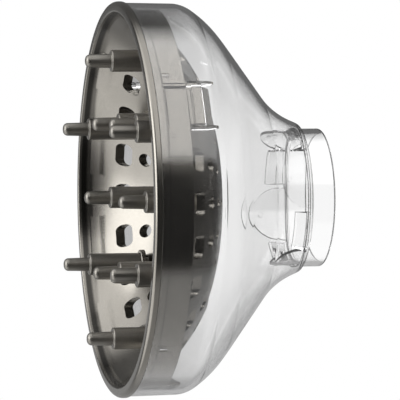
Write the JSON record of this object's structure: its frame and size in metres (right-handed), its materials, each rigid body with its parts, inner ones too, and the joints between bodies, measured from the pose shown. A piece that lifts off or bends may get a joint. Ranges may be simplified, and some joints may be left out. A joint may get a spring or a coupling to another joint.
{
  "type": "dryer diffuser",
  "caption": "Hair dryer diffuser: clear bell with a snap-in collar for the dryer's barrel and a grey perforated dish of stepped fingers.",
  "frame": {"origin": "centre of the collar's mouth, on the plane of its lower edge", "axes": "+Z along the air flow, from the dryer towards the fingers' tips; +X towards the first outer finger"},
  "size_m": [0.16, 0.16, 0.0966],
  "materials": {
    "clear_plastic": "clear, polished moulding",
    "metallic_grey_plastic": "satin metallic-look plastic"
  },
  "bodies": {
    "bell": {"funnel_shell": "clear_plastic", "dish_shell": "metallic_grey_plastic", "finger_outer_1": "metallic_grey_plastic", "finger_outer_2": "metallic_grey_plastic", "finger_outer_3": "metallic_grey_plastic", "finger_outer_4": "metallic_grey_plastic", "finger_outer_5": "metallic_grey_plastic", "finger_outer_6": "metallic_grey_plastic", "finger_inner_1": "metallic_grey_plastic", "finger_inner_2": "metallic_grey_plastic", "finger_inner_3": "metallic_grey_plastic", "finger_inner_4": "metallic_grey_plastic", "finger_inner_5": "metallic_grey_plastic", "finger_inner_6": "metallic_grey_plastic"},
    "collar": {"neck_collar": "clear_plastic"},
    "dish_latch_1": {"dish_latch_1": "metallic_grey_plastic"},
    "dish_latch_2": {"dish_latch_2": "metallic_grey_plastic"},
    "dish_latch_3": {"dish_latch_3": "metallic_grey_plastic"},
    "grip_tongue_1": {"grip_tongue_1": "clear_plastic"},
    "grip_tongue_2": {"grip_tongue_2": "clear_plastic"},
    "grip_tongue_3": {"grip_tongue_3": "clear_plastic"},
    "grip_tongue_4": {"grip_tongue_4": "clear_plastic"},
    "collar_hook_1": {"collar_hook_1": "clear_plastic"},
    "collar_hook_2": {"collar_hook_2": "clear_plastic"},
    "collar_hook_3": {"collar_hook_3": "clear_plastic"},
    "collar_hook_4": {"collar_hook_4": "clear_plastic"}
  },
  "joints": [
    {"name": "collar_swivel", "type": "hinge", "parent": "bell", "child": "collar", "pos_m": [0, 0, 0.0105], "axis": [0, 0, 1], "continuous": true},
    {"name": "grip_tongue_1_flex", "type": "hinge", "parent": "collar", "child": "grip_tongue_1", "pos_m": [-0.00783, 0.02484, 0.01115], "axis": [-0.9537, -0.3007, 0], "range_deg": [0, 5], "stiffness_Nm_per_rad": 0.02},
    {"name": "grip_tongue_2_flex", "type": "hinge", "parent": "collar", "child": "grip_tongue_2", "pos_m": [-0.02484, -0.00783, 0.01115], "axis": [0.3007, -0.9537, 0], "range_deg": [0, 5], "stiffness_Nm_per_rad": 0.02},
    {"name": "grip_tongue_3_flex", "type": "hinge", "parent": "collar", "child": "grip_tongue_3", "pos_m": [0.00783, -0.02484, 0.01115], "axis": [0.9537, 0.3007, 0], "range_deg": [0, 5], "stiffness_Nm_per_rad": 0.02},
    {"name": "grip_tongue_4_flex", "type": "hinge", "parent": "collar", "child": "grip_tongue_4", "pos_m": [0.02484, 0.00783, 0.01115], "axis": [-0.3007, 0.9537, 0], "range_deg": [0, 5], "stiffness_Nm_per_rad": 0.02},
    {"name": "collar_hook_1_flex", "type": "hinge", "parent": "collar", "child": "collar_hook_1", "pos_m": [-0.02324, 0.0121, 0.01115], "axis": [-0.4617, -0.887, 0], "range_deg": [-7, 0], "stiffness_Nm_per_rad": 0.02},
    {"name": "collar_hook_2_flex", "type": "hinge", "parent": "collar", "child": "collar_hook_2", "pos_m": [-0.0121, -0.02324, 0.01115], "axis": [0.887, -0.4617, 0], "range_deg": [-7, 0], "stiffness_Nm_per_rad": 0.02},
    {"name": "collar_hook_3_flex", "type": "hinge", "parent": "collar", "child": "collar_hook_3", "pos_m": [0.02324, -0.0121, 0.01115], "axis": [0.4617, 0.887, 0], "range_deg": [-7, 0], "stiffness_Nm_per_rad": 0.02},
    {"name": "collar_hook_4_flex", "type": "hinge", "parent": "collar", "child": "collar_hook_4", "pos_m": [0.0121, 0.02324, 0.01115], "axis": [-0.887, 0.4617, 0], "range_deg": [-7, 0], "stiffness_Nm_per_rad": 0.02},
    {"name": "dish_latch_1_flex", "type": "hinge", "parent": "bell", "child": "dish_latch_1", "pos_m": [0.0373, 0.0646, 0.06885], "axis": [-0.866, 0.5, 0], "range_deg": [0, 8], "stiffness_Nm_per_rad": 0.02},
    {"name": "dish_latch_2_flex", "type": "hinge", "parent": "bell", "child": "dish_latch_2", "pos_m": [-0.0746, 0, 0.06885], "axis": [0, -1, 0], "range_deg": [0, 8], "stiffness_Nm_per_rad": 0.02},
    {"name": "dish_latch_3_flex", "type": "hinge", "parent": "bell", "child": "dish_latch_3", "pos_m": [0.0373, -0.0646, 0.06885], "axis": [0.866, 0.5, 0], "range_deg": [0, 8], "stiffness_Nm_per_rad": 0.02}
  ]
}
